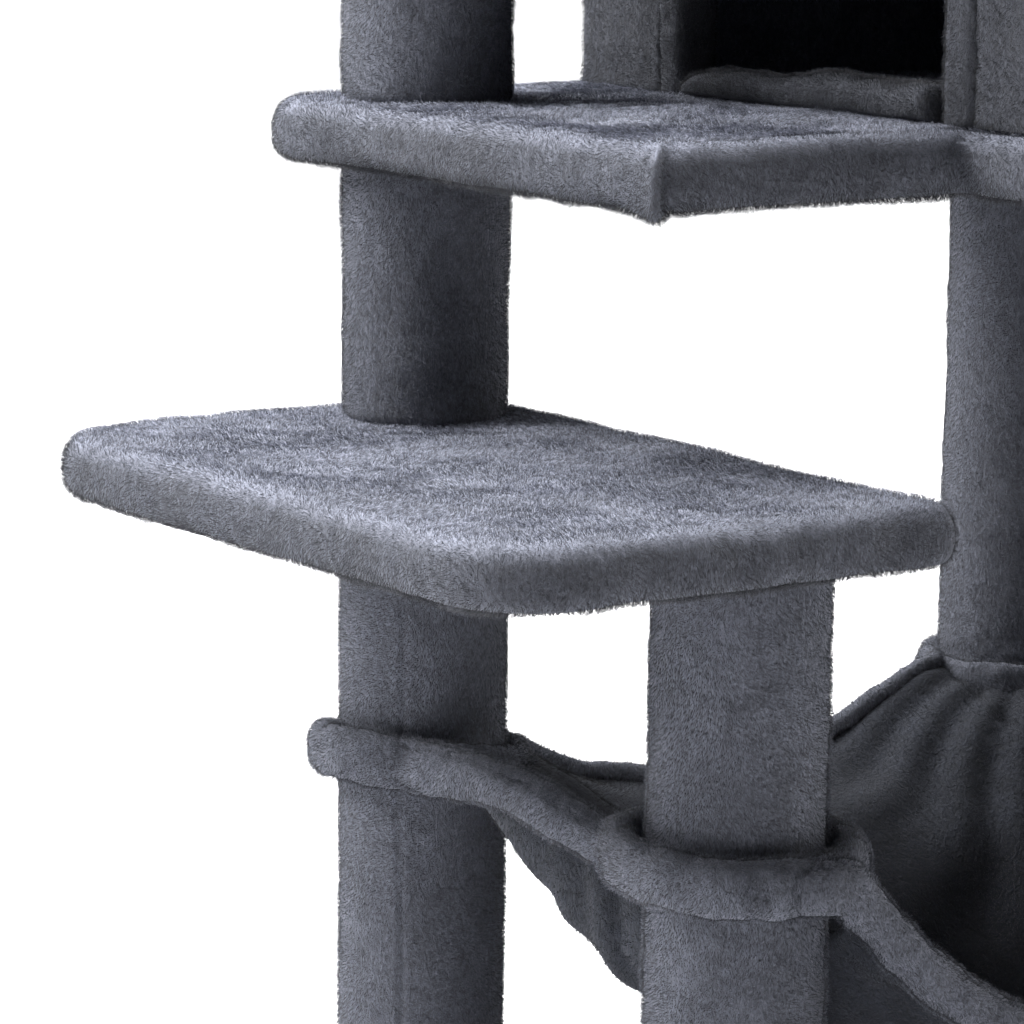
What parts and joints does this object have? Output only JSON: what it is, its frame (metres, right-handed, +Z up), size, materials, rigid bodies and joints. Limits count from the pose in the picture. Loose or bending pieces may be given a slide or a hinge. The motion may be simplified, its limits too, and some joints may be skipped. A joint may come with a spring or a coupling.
{
  "type": "cat tree",
  "caption": "Plush covered cat tree with padded posts, a low step, a ledge running into a walk-in condo with a roof deck, and a sling hammock that slides on the posts.",
  "frame": {"origin": "centre of the base's underside, on the floor", "axes": "+Z up, +X from the low step towards the condo, +Y towards the tall post and the rear post"},
  "size_m": [0.642, 0.44, 0.918],
  "materials": {
    "plush_deck": "short pile plush",
    "plush_post": "short pile plush",
    "plush_condo": "short pile plush",
    "plush_lining": "short pile plush",
    "plush_sling": "short pile plush, two layers",
    "plush_rim": "short pile plush",
    "liner": "non-woven felt",
    "board": "raw particle board",
    "paperboard": "spiral-wound paperboard",
    "plug_wood": "sawn softwood",
    "steel": "zinc plated"
  },
  "bodies": {
    "frame": {"base_board": "board", "base_cover": "plush_deck", "base_liner": "liner", "tall_post_lower_tube": "paperboard", "tall_post_lower_sleeve": "plush_post", "tall_post_lower_plugs": "plug_wood", "tall_post_middle_tube": "paperboard", "tall_post_middle_sleeve": "plush_post", "tall_post_middle_plugs": "plug_wood", "tall_post_upper_tube": "paperboard", "tall_post_upper_sleeve": "plush_post", "tall_post_upper_plugs": "plug_wood", "step_post_tube": "paperboard", "step_post_sleeve": "plush_post", "step_post_plugs": "plug_wood", "rear_post_tube": "paperboard", "rear_post_sleeve": "plush_post", "rear_post_plugs": "plug_wood", "side_post_tube": "paperboard", "side_post_sleeve": "plush_post", "side_post_plugs": "plug_wood", "lower_platform_board": "board", "lower_platform_cover": "plush_deck", "lower_platform_liner": "liner", "upper_platform_board": "board", "upper_platform_cover": "plush_deck", "upper_platform_liner": "liner", "roof_board": "board", "roof_cover": "plush_deck", "roof_liner": "liner", "condo_front_panel": "board", "condo_rear_panel": "board", "condo_left_panel": "board", "condo_right_panel": "board", "condo_outer_cover": "plush_condo", "condo_lining": "plush_lining", "doorway_binding": "plush_condo", "doorway_sill": "plush_condo", "base_bolts": "steel", "platform_bolts": "steel", "bolt_washers": "steel", "joining_studs": "steel", "condo_screws": "steel"},
    "hammock": {"hammock_sling": "plush_sling", "hammock_rim_left": "plush_rim", "hammock_rim_front": "plush_rim", "hammock_rim_right": "plush_rim", "hammock_rear_hem": "plush_rim", "loop_tall_post": "plush_rim", "loop_step_post": "plush_rim", "loop_rear_post": "plush_rim", "loop_side_post": "plush_rim"}
  },
  "joints": [
    {"name": "hammock_slide", "type": "slide", "parent": "frame", "child": "hammock", "axis": [0, 0, 1], "range_m": [-0.06, 0.1]}
  ]
}
